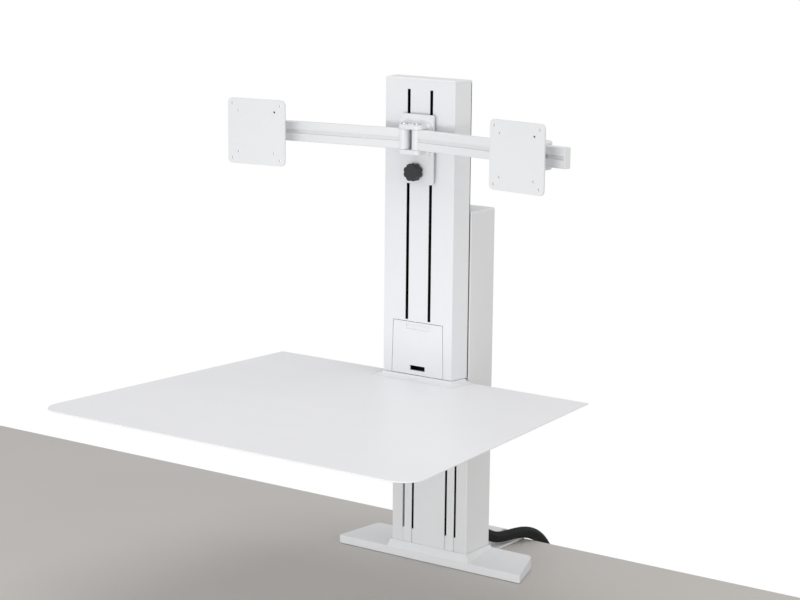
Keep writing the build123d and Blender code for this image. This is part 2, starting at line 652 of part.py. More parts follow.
with BuildPart() as access_cover:
    with BuildSketch(Plane.XZ.offset(-HOUSE_FRONT_Y - WALL)):
        outline = add(access_cover_outline(0))
        fillet(outline.vertices().group_by(Axis.Y)[-1], radius=4)
        with Locations((0, 380.5)):
            RectangleRounded(2 * CABLE_HALF, 9, 1, mode=Mode.SUBTRACT)
    extrude(amount=WALL)
    with BuildSketch(Plane.XZ.offset(-HOUSE_FRONT_Y)):
        with Locations((0, COVER_TOP - 9)):
            RectangleRounded(2 * NOTCH_HALF, 9.5, 1.5)
    extrude(amount=-1.6, mode=Mode.SUBTRACT)
    for pin_x in (-COVER_HALF_FOOT, COVER_HALF_FOOT):
        with Locations(Location((pin_x, HOUSE_FRONT_Y + WALL / 2, COVER_PIVOT_Z), (0, 90, 0))):
            Cylinder(COVER_PIN_R, 6)
access_cover.part.label = "access_cover"
export_step(access_cover.part, "parts/access_cover.step")

# ======================= screen riser in the housing =======================

RISER_LOW = BAR_Z - 39
RISER_HIGH = BAR_Z + 39
HUB_PLATE_T = 4.0
KNOB_Z = 744.0

with BuildPart() as riser_carriage:
    box_between(-62, 62, -38, -17, RISER_LOW - 5, RISER_HIGH + 5)
    cut_between(-50, 50, -30, -16, RISER_LOW + 5, RISER_HIGH - 5)
    for web_x in (-HOUSE_SLOT_X, HOUSE_SLOT_X):
        box_between(web_x - 1.6, web_x + 1.6, HUB_Y + HUB_PLATE_T, -37, RISER_LOW, RISER_HIGH)
riser_carriage.part.label = "riser_carriage"
export_step(riser_carriage.part, "parts/riser_carriage.step")

with BuildPart() as riser_glides:
    for glide_x in (-63.75, 63.75):
        for glide_z in (RISER_LOW + 6, RISER_HIGH - 6):
            box_between(glide_x - 1.75, glide_x + 1.75, -34, -20, glide_z - 10, glide_z + 10)
riser_glides.part.label = "riser_glides"
export_step(riser_glides.part, "parts/riser_glides.step")

with BuildPart() as riser_plate:
    box_between(-36, 36, HUB_Y, HUB_Y + HUB_PLATE_T, 722, RISER_HIGH + 4)
    fillet(riser_plate.edges().filter_by(Axis.Y), radius=5)
    with Locations(Location((0, HUB_Y, KNOB_Z), (90, 0, 0))):
        Cylinder(4 + RUN_GAP, 20, mode=Mode.SUBTRACT)
riser_plate.part.label = "riser_plate"
export_step(riser_plate.part, "parts/riser_plate.step")

with BuildPart() as riser_knob:
    with Locations(Location((0, HUB_Y - 3, KNOB_Z), (90, 0, 0))):
        Cylinder(16, 16, align=(Align.CENTER, Align.CENTER, Align.MIN))
    fillet(riser_knob.edges().group_by(Axis.Y)[0], radius=2)
    with BuildSketch(Plane.XZ.offset(-HUB_Y + 2)):
        with Locations((0, KNOB_Z)):
            with PolarLocations(18.2, 8):
                Circle(4.6)
    extrude(amount=20, mode=Mode.SUBTRACT)
    with Locations(Location((0, -44.6, KNOB_Z), (90, 0, 0))):
        Cylinder(4, 14, align=(Align.CENTER, Align.CENTER, Align.MIN))
riser_knob.part.label = "riser_knob"
export_step(riser_knob.part, "parts/riser_knob.step")

EAR_GAP = 0.4
EAR_T = 8.0

with BuildPart() as crossbar_hub:
    box_between(-32, 32, HUB_Y - 6, HUB_Y, BAR_Z - 29, BAR_Z + 29)
    fillet(crossbar_hub.edges().filter_by(Axis.Y), radius=5)
    for low in (BAR_Z + ARM_H / 2 + EAR_GAP, BAR_Z - ARM_H / 2 - EAR_GAP - EAR_T):
        with BuildSketch(Plane.XY.offset(low)):
            with Locations((0, (HUB_Y - 6 + PIVOT_Y) / 2)):
                Rectangle(48, HUB_Y - 6 - PIVOT_Y)
            with Locations((-PIVOT_X, PIVOT_Y), (PIVOT_X, PIVOT_Y)):
                Circle(10)
            with Locations((0, PIVOT_Y - 5)):
                Rectangle(2 * PIVOT_X, 10)
        extrude(amount=EAR_T)
    with Locations((-PIVOT_X, PIVOT_Y, BAR_Z), (PIVOT_X, PIVOT_Y, BAR_Z)):
        Cylinder(PIN_R, 80, mode=Mode.SUBTRACT)
crossbar_hub.part.label = "crossbar_hub"
export_step(crossbar_hub.part, "parts/crossbar_hub.step")

with BuildPart() as hub_pins:
    pin_high = BAR_Z + ARM_H / 2 + EAR_GAP + EAR_T
    pin_low = BAR_Z - ARM_H / 2 - EAR_GAP - EAR_T
    with BuildSketch(Plane.XY.offset(pin_low)):
        with Locations((-PIVOT_X, PIVOT_Y), (PIVOT_X, PIVOT_Y)):
            Circle(PIN_R)
    extrude(amount=pin_high - pin_low)
    with BuildSketch(Plane.XY.offset(pin_high)):
        with Locations((-PIVOT_X, PIVOT_Y), (PIVOT_X, PIVOT_Y)):
            Circle(PIN_R + 2.5)
    extrude(amount=2.5)
hub_pins.part.label = "hub_pins"
export_step(hub_pins.part, "parts/hub_pins.step")

# ======================= screen arms and heads =======================

SLIDER_HALF = 24.0
SLIDER_HIGH = 25.0
EAR_IN = 16.0

for side, sign in SIDES:
    mid_arm = head_plane(sign, (ARM_LEN + 6) / 2, 0)
    with BuildPart() as screen_arm:
        with Locations(mid_arm.location):
            Box(ARM_LEN - 6, ARM_H, ARM_T)
        fillet(screen_arm.edges().filter_by(Axis(mid_arm.origin, mid_arm.x_dir)), radius=1.5)
        for slot_face in (-1, 1):
            groove = mid_arm.offset(slot_face * (ARM_T / 2 - 1.5))
            with Locations(groove.location):
                Box(ARM_LEN, 7, 3.2, mode=Mode.SUBTRACT)
        with Locations((sign * PIVOT_X, PIVOT_Y, BAR_Z)):
            Cylinder(10, ARM_H)
            Cylinder(PIN_R + RUN_GAP, ARM_H + 2, mode=Mode.SUBTRACT)
    screen_arm.part.label = f"screen_arm_{side}"
    export_step(screen_arm.part, f"parts/screen_arm_{side}.step")

    cap_plane = head_plane(sign, ARM_LEN + 1.5, 0)
    with BuildPart() as arm_cap:
        with Locations(cap_plane.location):
            Box(3, ARM_H, ARM_T)
        fillet(arm_cap.edges().filter_by(Axis(cap_plane.origin, cap_plane.x_dir)), radius=1.5)
    arm_cap.part.label = f"arm_end_cap_{side}"
    export_step(arm_cap.part, f"parts/arm_end_cap_{side}.step")

    slider_plane = head_plane(sign, HEAD_OUT, 0)
    with BuildPart() as slider:
        with Locations(slider_plane.offset(1.5).location):
            Box(2 * SLIDER_HALF, 2 * SLIDER_HIGH, 25)
        fillet(slider.edges().filter_by(Axis(slider_plane.origin, slider_plane.z_dir)), radius=4)
        with Locations(slider_plane.location):
            Box(2 * SLIDER_HALF + 2, ARM_H + 0.6, ARM_T + 0.6, mode=Mode.SUBTRACT)
        for ear in (-1, 1):
            with BuildSketch(slider_plane.offset(14)):
                with Locations((ear * (EAR_IN + 2.5), 0)):
                    Rectangle(5, 22)
            extrude(amount=20)
        with Locations(Location(slider_plane.offset(TILT_OUT).location * Location((0, 0, 0), (0, 90, 0)))):
            Cylinder(3, 60, mode=Mode.SUBTRACT)
        with Locations((slider_plane.origin.X, slider_plane.origin.Y, BAR_Z + SLIDER_HIGH)):
            Cylinder(3 + RUN_GAP, 24, mode=Mode.SUBTRACT)
    slider.part.label = f"head_slider_{side}"
    export_step(slider.part, f"parts/head_slider_{side}.step")

    stem_foot = BAR_Z + ARM_H / 2 + 0.3
    with BuildPart() as slider_knob:
        with BuildSketch(Plane.XY.offset(stem_foot)):
            with Locations((slider_plane.origin.X, slider_plane.origin.Y)):
                Circle(3)
        extrude(amount=10)
        with BuildSketch(Plane.XY.offset(BAR_Z + SLIDER_HIGH + 1.5)):
            with Locations((slider_plane.origin.X, slider_plane.origin.Y)):
                Circle(11)
                with PolarLocations(12.4, 8):
                    Circle(3, mode=Mode.SUBTRACT)
        extrude(amount=11)
        fillet(slider_knob.edges().group_by(Axis.Z)[-1], radius=1)
    slider_knob.part.label = f"slider_knob_{side}"
    export_step(slider_knob.part, f"parts/slider_knob_{side}.step")

    tilt_axis = slider_plane.offset(TILT_OUT).location * Location((0, 0, 0), (0, 90, 0))
    with BuildPart() as tilt_pin:
        with Locations(tilt_axis):
            Cylinder(3, 2 * (EAR_IN + 5))
        for end in (-1, 1):
            pin_end = tilt_axis * Location((0, 0, end * (EAR_IN + 6)))
            with Locations(pin_end):
                Cylinder(5, 2)
    tilt_pin.part.label = f"tilt_pin_{side}"
    export_step(tilt_pin.part, f"parts/tilt_pin_{side}.step")

    with BuildPart() as tilt_block:
        with Locations(tilt_axis):
            Cylinder(11, 2 * EAR_IN - 0.6)
        with BuildSketch(slider_plane.offset(TILT_OUT)):
            Rectangle(2 * EAR_IN - 0.6, 18)
        extrude(amount=15)
        with BuildSketch(slider_plane.offset(TILT_OUT + 13)):
            Circle(20)
        extrude(amount=4)
        with Locations(tilt_axis):
            Cylinder(3 + RUN_GAP, 60, mode=Mode.SUBTRACT)
        with BuildSketch(slider_plane.offset(TILT_OUT + 8)):
            Circle(5 + RUN_GAP)
        extrude(amount=12, mode=Mode.SUBTRACT)
    tilt_block.part.label = f"tilt_block_{side}"
    export_step(tilt_block.part, f"parts/tilt_block_{side}.step")

    with BuildPart() as vesa_plate:
        with BuildSketch(slider_plane.offset(VESA_OUT - 3)):
            RectangleRounded(VESA_SIZE, VESA_SIZE, 9)
            for pitch in (75, 100):
                with GridLocations(pitch, pitch, 2, 2):
                    Circle(VESA_HOLE_R, mode=Mode.SUBTRACT)
        extrude(amount=3)
        with BuildSketch(slider_plane.offset(TILT_OUT + 17.3)):
            Circle(26)
        extrude(amount=VESA_OUT - 3 - TILT_OUT - 17.3)
        with BuildSketch(slider_plane.offset(TILT_OUT + 8.5)):
            Circle(5)
        extrude(amount=9)
    vesa_plate.part.label = f"vesa_plate_{side}"
    export_step(vesa_plate.part, f"parts/vesa_plate_{side}.step")

# ======================= cable sleeve behind the column =======================

with BuildPart() as sleeve_gland:
    with BuildSketch(Plane.XZ.offset(-REAR_COVER_Y)):
        with Locations((GLAND_X, GLAND_Z)):
            Circle(SLEEVE_D / 2 + 4)
    extrude(amount=-9)
    with BuildSketch(Plane.XZ.offset(-COL_D)):
        with Locations((GLAND_X, GLAND_Z)):
            Circle(SLEEVE_D / 2 + 6.5)
    extrude(amount=-2.5)
    with BuildSketch(Plane.XZ.offset(-REAR_COVER_Y + 1)):
        with Locations((GLAND_X, GLAND_Z)):
            Circle(SLEEVE_D / 2)
    extrude(amount=-12, mode=Mode.SUBTRACT)
sleeve_gland.part.label = "sleeve_gland"
export_step(sleeve_gland.part, "parts/sleeve_gland.step")

SLEEVE_ROUTE = [
    (GLAND_X, 76, GLAND_Z),
    (GLAND_X, 98, GLAND_Z),
    (36.5, 119, 38.5),
    (41.5, 137.5, 27),
    (49, 155, 18.5),
    (56.5, 177, 17.2),
    (64.5, 200, 18.8),
    (73, 223, 17.8),
    (81.5, 244.5, 10),
    (89, 261, -5.5),
    (94.5, 272, -25.5),
    (98, 278, -49.5),
    (99.5, 280.5, -76.5),
    (99, 280, -104.5),
]


def bend_radii(route, share=0.45):
    """Largest even bend at each corner: share of its shorter run over tan of half the turn."""
    points = [Vector(*point) for point in route]
    radii = []
    for before, corner, after in zip(points, points[1:], points[2:]):
        run_in, run_out = corner - before, after - corner
        half_turn = radians(run_in.get_angle(run_out)) / 2
        radii.append(share * min(run_in.length, run_out.length) / tan(half_turn))
    return radii


sleeve_radii = bend_radii(SLEEVE_ROUTE)
print("cable sleeve bend radii, mm:", [round(radius) for radius in sleeve_radii])

with BuildPart() as cable_sleeve:
    with BuildLine() as sleeve_path:
        FilletPolyline(*SLEEVE_ROUTE, radius=sleeve_radii)
    start = sleeve_path.line @ 0
    heading = sleeve_path.line % 0
    with BuildSketch(Plane(origin=start, z_dir=heading)):
        Circle(SLEEVE_D / 2)
    sweep()
sleeve_length = sum(edge.length for edge in sleeve_path.line.edges())
sleeve_section = pi * SLEEVE_D**2 / 4
print(f"cable sleeve length {sleeve_length:.0f} mm")
print(f"volume ratio {cable_sleeve.part.volume / (sleeve_section * sleeve_length):.4f}")
cable_sleeve.part.label = "cable_sleeve"
export_step(cable_sleeve.part, "parts/cable_sleeve.step")

with BuildPart() as sleeve_end_cuff:
    cuff_plane = Plane(origin=sleeve_path.line @ 1, z_dir=sleeve_path.line % 1)
    with BuildSketch(cuff_plane):
        Circle(SLEEVE_D / 2 + 1.2)
        Circle(SLEEVE_D / 2 - 2.5, mode=Mode.SUBTRACT)
    extrude(amount=16)
sleeve_end_cuff.part.label = "sleeve_end_cuff"
export_step(sleeve_end_cuff.part, "parts/sleeve_end_cuff.step")
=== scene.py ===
"""Looks of the standing desk converter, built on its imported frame."""
import math

import bmesh
import bpy
from mathutils import Matrix, Vector


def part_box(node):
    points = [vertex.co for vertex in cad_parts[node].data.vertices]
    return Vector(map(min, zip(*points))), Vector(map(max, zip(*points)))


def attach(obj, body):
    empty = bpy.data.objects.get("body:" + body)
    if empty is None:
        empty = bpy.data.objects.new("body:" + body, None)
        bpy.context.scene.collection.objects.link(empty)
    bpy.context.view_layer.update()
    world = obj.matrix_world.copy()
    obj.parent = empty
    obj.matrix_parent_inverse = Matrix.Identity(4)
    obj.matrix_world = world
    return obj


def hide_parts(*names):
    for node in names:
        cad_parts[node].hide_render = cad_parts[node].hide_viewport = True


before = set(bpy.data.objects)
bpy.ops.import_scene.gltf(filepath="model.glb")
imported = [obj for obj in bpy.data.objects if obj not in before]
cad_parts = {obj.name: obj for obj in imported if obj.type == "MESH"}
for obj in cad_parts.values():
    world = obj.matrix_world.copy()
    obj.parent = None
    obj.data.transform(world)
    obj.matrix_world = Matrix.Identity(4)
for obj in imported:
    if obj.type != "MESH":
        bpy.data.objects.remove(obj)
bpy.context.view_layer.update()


# ---------------------------------------------------------------- node helpers

class Graph:
    """A material's node tree with short calls for the nodes used here."""

    def __init__(self, name):
        self.mat = bpy.data.materials.new(name)
        self.mat.use_nodes = True
        self.tree = self.mat.node_tree
        self.bsdf = self.tree.nodes["Principled BSDF"]
        self.coord = self.node("ShaderNodeTexCoord").outputs["Object"]
        split = self.node("ShaderNodeSeparateXYZ")
        self.link(self.coord, split.inputs[0])
        self.x, self.y, self.z = split.outputs

    def node(self, kind, **settings):
        made = self.tree.nodes.new(kind)
        for key, value in settings.items():
            setattr(made, key, value)
        return made

    def link(self, a, b):
        self.tree.links.new(a, b)

    def put(self, value, socket):
        if isinstance(value, bpy.types.NodeSocket):
            self.link(value, socket)
        else:
            socket.default_value = value

    def math(self, operation, a, b=0.0, c=0.0, clamp=False):
        made = self.node("ShaderNodeMath", operation=operation, use_clamp=clamp)
        for value, socket in zip((a, b, c), made.inputs):
            self.put(value, socket)
        return made.outputs[0]

    def ramp(self, value, low, high, out_low=0.0, out_high=1.0):
        made = self.node("ShaderNodeMapRange", interpolation_type="SMOOTHSTEP")
        for item, socket in zip((value, low, high, out_low, out_high), made.inputs):
            self.put(item, socket)
        return made.outputs[0]

    def mix(self, factor, a, b):
        made = self.node("ShaderNodeMix", data_type="RGBA")
        self.put(factor, made.inputs[0])
        for value, socket in ((a, made.inputs[6]), (b, made.inputs[7])):
            self.put((*value, 1.0) if isinstance(value, tuple) and len(value) == 3 else value, socket)
        return made.outputs[2]

    def stretch(self, scale):
        made = self.node("ShaderNodeMapping")
        self.link(self.coord, made.inputs[0])
        made.inputs["Scale"].default_value = scale
        return made.outputs[0]

    def noise(self, scale, detail=3.0, rough=0.5, coord=None):
        made = self.node("ShaderNodeTexNoise")
        self.link(coord or self.coord, made.inputs["Vector"])
        made.inputs["Scale"].default_value = scale
        made.inputs["Detail"].default_value = detail
        made.inputs["Roughness"].default_value = rough
        return made.outputs[0]

    def cells(self, scale):
        made = self.node("ShaderNodeTexVoronoi")
        self.link(self.coord, made.inputs["Vector"])
        made.inputs["Scale"].default_value = scale
        return made.outputs["Distance"]

    def bump(self, height, strength, distance, under=None):
        made = self.node("ShaderNodeBump")
        made.inputs["Strength"].default_value = strength
        made.inputs["Distance"].default_value = distance
        self.link(height, made.inputs["Height"])
        if under is not None:
            self.link(under, made.inputs["Normal"])
        return made.outputs[0]

    def inside(self, *limits):
        """1 where every (coordinate, low, high) holds, with crisp edges; None leaves a side open."""
        factor = None
        for value, low, high in limits:
            for bound, operation in ((low, "GREATER_THAN"), (high, "LESS_THAN")):
                if bound is None:
                    continue
                test = self.math(operation, value, bound)
                factor = test if factor is None else self.math("MULTIPLY", factor, test)
        return factor

    def either(self, a, b):
        return self.math("MAXIMUM", a, b)


def set_bsdf(graph, **values):
    names = {"metallic": "Metallic", "ior": "IOR", "specular": "Specular IOR Level"}
    for key, value in values.items():
        graph.bsdf.inputs[names[key]].default_value = value


def soft_edges(graph, radius):
    """The true normal, rounded off close to the edges."""
    bevel = graph.node("ShaderNodeBevel", samples=4)
    bevel.inputs["Radius"].default_value = radius
    return bevel.outputs[0]


def edge_wear(graph, width):
    """1 on convex edges and corners, from the bevelled normal against the true one."""
    bevel = graph.node("ShaderNodeBevel", samples=4)
    bevel.inputs["Radius"].default_value = width
    flat = graph.node("ShaderNodeNewGeometry").outputs["Normal"]
    dot = graph.node("ShaderNodeVectorMath", operation="DOT_PRODUCT")
    graph.link(bevel.outputs[0], dot.inputs[0])
    graph.link(flat, dot.inputs[1])
    return graph.math("SUBTRACT", 1.0, dot.outputs["Value"], clamp=True)


# Black painted as shade into hollows, slots and shadow gaps.
PAINTED_SHADE_BLACK = (0.012, 0.012, 0.013)


def shade(colour, factor, lift=0.0):
    """The colour times a factor, plus a lift, and no brighter than white."""
    return tuple(min(1.0, c * factor + lift) for c in colour)


def finish_coat(g, base, roughness, painted_shade):
    """Puts colour and roughness on the shader, with the mask's places painted black and matt as painted
    shade.
    """
    if painted_shade is not None:
        shade_mask = painted_shade(g)
        base = g.mix(shade_mask, base, PAINTED_SHADE_BLACK)
        roughness = g.math("MAXIMUM", roughness, g.math("MULTIPLY", shade_mask, 0.75))
    g.put(base, g.bsdf.inputs["Base Color"])
    g.put(roughness, g.bsdf.inputs["Roughness"])


def moulded(name, colour, rough=0.42, grain=0.35, painted_shade=None):
    """Spark-textured moulding: fine stipple, a little flow mottling, satin gloss."""
    g = Graph(name)
    mottle = g.noise(14.0, 4.0, 0.55)
    stipple = g.cells(2300.0)
    fine = g.noise(3800.0, 2.0)
    base = g.mix(g.ramp(mottle, 0.35, 0.68), colour, shade(colour, 0.988))
    # Painted shade: the stipple's pits are painted a little darker.
    base = g.mix(g.ramp(stipple, 0.0, 0.32, 0.16, 0.0), base, shade(colour, 0.82))
    roughness = g.math("MULTIPLY_ADD", mottle, 0.12, rough - 0.06)
    roughness = g.math("MULTIPLY_ADD", fine, 0.08, g.math("SUBTRACT", roughness, 0.04))
    finish_coat(g, base, roughness, painted_shade)
    normal = g.bump(stipple, grain, 0.00012, soft_edges(g, 0.0006))
    normal = g.bump(fine, grain * 0.6, 0.00006, normal)
    g.put(g.bump(mottle, 0.05, 0.0008, normal), g.bsdf.inputs["Normal"])
    set_bsdf(g, ior=1.49)
    return g.mat


def powder_coat(name, colour, rough=0.38, peel=0.3, painted_shade=None):
    """Baked powder paint: orange peel, fine pinholes, a slightly thinner coat on the edges."""
    g = Graph(name)
    cloud = g.noise(9.0, 3.0, 0.5)
    peel_height = g.noise(620.0, 3.0, 0.6)
    pin = g.cells(1500.0)
    base = g.mix(g.ramp(cloud, 0.3, 0.7), colour, shade(colour, 0.988))
    base = g.mix(g.ramp(peel_height, 0.35, 0.65, 0.0, 0.18), base, shade(colour, 0.9))
    edges = g.ramp(edge_wear(g, 0.0012), 0.05, 0.3)
    patches = g.ramp(g.noise(160.0), 0.45, 0.6, 0.0, 0.5)
    base = g.mix(g.math("MULTIPLY", edges, patches), base, shade(colour, 0.8, 0.02))
    roughness = g.math("MULTIPLY_ADD", peel_height, 0.14, rough - 0.07)
    finish_coat(g, base, roughness, painted_shade)
    normal = g.bump(peel_height, peel, 0.00025, soft_edges(g, 0.0005))
    g.put(g.bump(pin, peel * 0.4, 0.00008, normal), g.bsdf.inputs["Normal"])
    set_bsdf(g, ior=1.5)
    return g.mat


def metal(name, colour, rough=0.3, direction=(1.0, 1.0, 0.02), grain_scale=1400.0, bump=0.12):
    """Bare metal with a drawn or machined grain along one way."""
    g = Graph(name)
    grain = g.noise(grain_scale, 4.0, 0.65, g.stretch(direction))
    stain = g.noise(45.0, 4.0, 0.6)
    base = g.mix(g.ramp(grain, 0.3, 0.7), colour, shade(colour, 0.78))
    base = g.mix(g.ramp(stain, 0.5, 0.8, 0.0, 0.35), base, shade(colour, 0.7))
    g.put(base, g.bsdf.inputs["Base Color"])
    stained = g.math("MULTIPLY_ADD", stain, 0.12, rough - 0.16)
    g.put(g.math("MULTIPLY_ADD", grain, 0.22, stained), g.bsdf.inputs["Roughness"])
    g.put(g.bump(grain, bump, 0.0001), g.bsdf.inputs["Normal"])
    set_bsdf(g, metallic=1.0)
    return g.mat


def rubbery(name, colour, rough=0.72):
    """Matt rubber: pebbled skin with a trace of dust."""
    g = Graph(name)
    pebble = g.cells(900.0)
    dust = g.noise(60.0, 5.0, 0.65)
    base = g.mix(g.ramp(dust, 0.48, 0.75, 0.0, 0.5), colour, shade(colour, 1.9, 0.01))
    g.put(base, g.bsdf.inputs["Base Color"])
    g.put(g.math("MULTIPLY_ADD", dust, 0.16, rough - 0.08), g.bsdf.inputs["Roughness"])
    g.put(g.bump(pebble, 0.35, 0.0002), g.bsdf.inputs["Normal"])
    return g.mat


def paint(node, material):
    """The CAD node keeps its shape and takes this material in every slot."""
    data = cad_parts[node].data
    if not data.materials:
        data.materials.append(material)
    for index in range(len(data.materials)):
        data.materials[index] = material


def linked(name, data):
    """A new object with this data, in the scene."""
    made = bpy.data.objects.new(name, data)
    bpy.context.scene.collection.objects.link(made)
    return made


# ---------------------------------------------------------------- materials

WHITE = (0.80, 0.815, 0.835)
WHITE_PAINT = (0.79, 0.80, 0.815)
TRAY_WHITE = (0.87, 0.875, 0.895)

column_low, column_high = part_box("column_shell")
house_low, house_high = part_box("front_housing")
panel_low, panel_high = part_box("column_front_panel")
cover_low, cover_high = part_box("access_cover")
SKIN = 0.0004
SHEET = 0.003
LIP_DEPTH = 0.0092
RAIL_EDGE = -0.0558
REAR_SHADOW_LINE = 0.0016
SLOTS_HALF, SLOTS_TOP = 0.060, 0.895
COVER_LEAN = 0.0025 / 0.0981
HOUSE_LEAN = 0.0068 / 0.0418
HOUSE_HALF_FRONT = 0.0755


def column_painted_shade(g):
    """Painted shade: the inside of the column, behind its lips and the returns along their edges, painted
    black.
    """
    width = g.math("ABSOLUTE", g.x)
    return g.inside(
        (width, None, column_high.x - SHEET + SKIN),
        (g.y, column_low.y + LIP_DEPTH + SKIN, column_high.y - SHEET),
        (g.z, None, column_high.z - SKIN),
    )


def strip_painted_shade(g):
    """Painted shade: the edges and back of a front strip of the column, but for the left strip's outer
    edge, painted black.
    """
    return g.inside(
        (g.x, RAIL_EDGE, None),
        (g.y, panel_low.y + SKIN, None),
        (g.z, None, panel_high.z - SKIN),
    )


def housing_painted_shade(g):
    """Painted shade: the inside of the housing and the walls of its openings in front, painted black; and a
    painted shadow gap, a thin black line along its rear rim.
    """
    width = g.math("ABSOLUTE", g.x)
    lean = g.math("MULTIPLY", g.math("SUBTRACT", g.y, house_low.y), HOUSE_LEAN)
    hollow = g.inside(
        (g.math("SUBTRACT", width, lean), None, HOUSE_HALF_FRONT - SHEET + SKIN),
        (g.y, house_low.y + SHEET - SKIN, None),
        (g.z, house_low.z + SKIN, None),
    )
    openings = g.inside(
        (width, None, SLOTS_HALF),
        (g.y, house_low.y + SKIN, house_low.y + SHEET + SKIN),
        (g.z, house_low.z + SKIN, SLOTS_TOP),
    )
    # A painted shadow gap: a thin black line along the housing's rear rim.
    rear_gap_shadow = g.inside((g.y, house_high.y - REAR_SHADOW_LINE, None), (g.z, house_low.z + SKIN, None))
    return g.either(g.either(hollow, openings), rear_gap_shadow)


def cover_painted_shade(g):
    """A painted shadow gap: the edges of the access cover, whose sides lean in towards its top, painted
    black.
    """
    lean = g.math("MULTIPLY", g.math("SUBTRACT", g.z, cover_low.z), COVER_LEAN)
    from_middle = g.math("ADD", g.math("ABSOLUTE", g.x), lean)
    sides = g.inside((from_middle, cover_high.x - SKIN, None), (g.y, cover_low.y + SKIN, None))
    ends = g.either(
        g.inside((g.z, cover_high.z - SKIN, None), (g.y, cover_low.y + SKIN, None)),
        g.inside((g.z, None, cover_low.z + SKIN), (g.y, cover_low.y + SKIN, None)),
    )
    return g.either(sides, ends)


white_moulding = moulded("white_moulding", WHITE)
# The cover, column, strip and housing finishes below carry painted shade from their masks.
cover_moulding = moulded("cover_moulding", WHITE, painted_shade=cover_painted_shade)
white_paint = powder_coat("white_paint", WHITE_PAINT)
column_paint = powder_coat("column_paint", WHITE_PAINT, painted_shade=column_painted_shade)
strip_moulding = moulded("strip_moulding", WHITE, painted_shade=strip_painted_shade)
housing_moulding = moulded("housing_moulding", WHITE, painted_shade=housing_painted_shade)
tray_white = moulded("tray_satin", TRAY_WHITE, rough=0.36, grain=0.16)
black_moulding = moulded("black_moulding", (0.022, 0.022, 0.024), rough=0.5, grain=0.6)
black_paint = powder_coat("black_paint", (0.02, 0.02, 0.022), rough=0.46)
zinc = metal("zinc_plate", (0.66, 0.67, 0.69), rough=0.34)
extrusion = metal("anodised", (0.60, 0.61, 0.63), rough=0.4)
spring_steel = metal("spring_steel", (0.50, 0.51, 0.53), rough=0.26, direction=(0.02, 1.0, 1.0))
rubber = rubbery("black_rubber", (0.028, 0.028, 0.029))

by_material = {
    rubber: ["desk_pads", "clamp_pad_left", "clamp_pad_right"],
    white_paint: [
        "base_plate", "desk_clamp_bracket", "lift_front_plate", "tray_arms", "tray_bracket",
        "riser_plate", "crossbar_hub", "screen_arm_left", "screen_arm_right",
        "head_slider_left", "head_slider_right", "vesa_plate_left", "vesa_plate_right",
    ],
    column_paint: ["column_shell"],
    strip_moulding: ["column_front_panel", "guide_rail_left", "guide_rail_right"],
    white_moulding: [
        "foot_cover", "column_top_cap", "column_rear_cover", "tray_collar", "housing_top_cap",
        "arm_end_cap_left", "arm_end_cap_right", "slot_stops",
    ],
    housing_moulding: ["front_housing"],
    cover_moulding: ["access_cover"],
    tray_white: ["tray"],
    black_moulding: [
        "column_foot_block", "column_head_block", "carriage_glides", "riser_glides",
        "spring_spools", "riser_knob", "clamp_knob_left", "clamp_knob_right",
        "slider_knob_left", "slider_knob_right", "sleeve_gland", "sleeve_end_cuff",
    ],
    black_paint: [
        "lift_carriage", "tilt_block_left", "tilt_block_right", "housing_spine", "riser_carriage",
    ],
    zinc: [
        "base_fasteners", "clamp_screw_left", "clamp_screw_right", "spring_axle",
        "lift_fasteners", "hub_pins", "tilt_pin_left", "tilt_pin_right",
    ],
    spring_steel: ["spring_coils", "spring_strips"],
}
for material, names in by_material.items():
    for name in names:
        paint(name, material)


# ---------------------------------------------------------------- cable sleeve

SLEEVE_ROUTE = (
    (0.034, 0.076, 0.046),
    (0.034, 0.098, 0.046),
    (0.0365, 0.119, 0.0385),
    (0.0415, 0.1375, 0.027),
    (0.049, 0.155, 0.0185),
    (0.0565, 0.177, 0.0172),
    (0.0645, 0.200, 0.0188),
    (0.073, 0.223, 0.0178),
    (0.0815, 0.2445, 0.010),
    (0.089, 0.261, -0.0055),
    (0.0945, 0.272, -0.0255),
    (0.098, 0.278, -0.0495),
    (0.0995, 0.2805, -0.0765),
    (0.099, 0.280, -0.1045),
)
SLEEVE_R = 0.0113
SLEEVE_SIDES = 72
LOBES, LOBE_DEPTH, LOBE_TWIST = 6, 0.0005, 14.0
RIB_PITCH, RIB_DEPTH = 0.0026, 0.00022


def centreline(name, points):
    """Points along the smooth line that a NURBS spline draws through its control points."""
    curve = bpy.data.curves.new(name, "CURVE")
    curve.dimensions = "3D"
    curve.resolution_u = 24
    spline = curve.splines.new("NURBS")
    spline.points.add(len(points) - 1)
    for item, place in zip(spline.points, points):
        item.co = (*place, 1.0)
    spline.order_u = 3
    spline.use_endpoint_u = True
    holder = linked(name, curve)
    bpy.context.view_layer.update()
    mesh = bpy.data.meshes.new_from_object(holder)
    line = [v.co.copy() for v in mesh.vertices]
    bpy.data.objects.remove(holder)
    bpy.data.meshes.remove(mesh)
    return line


def sleeve_section(travel, angle):
    """Radius of the woven sleeve: the leads inside push it out in lobes, its ribs ring it."""
    lobe = math.cos(LOBES * angle + LOBE_TWIST * travel)
    rib = math.sin(2 * math.pi * travel / RIB_PITCH)
    return SLEEVE_R + LOBE_DEPTH * (lobe - 1.0) + RIB_DEPTH * (rib - 1.0)


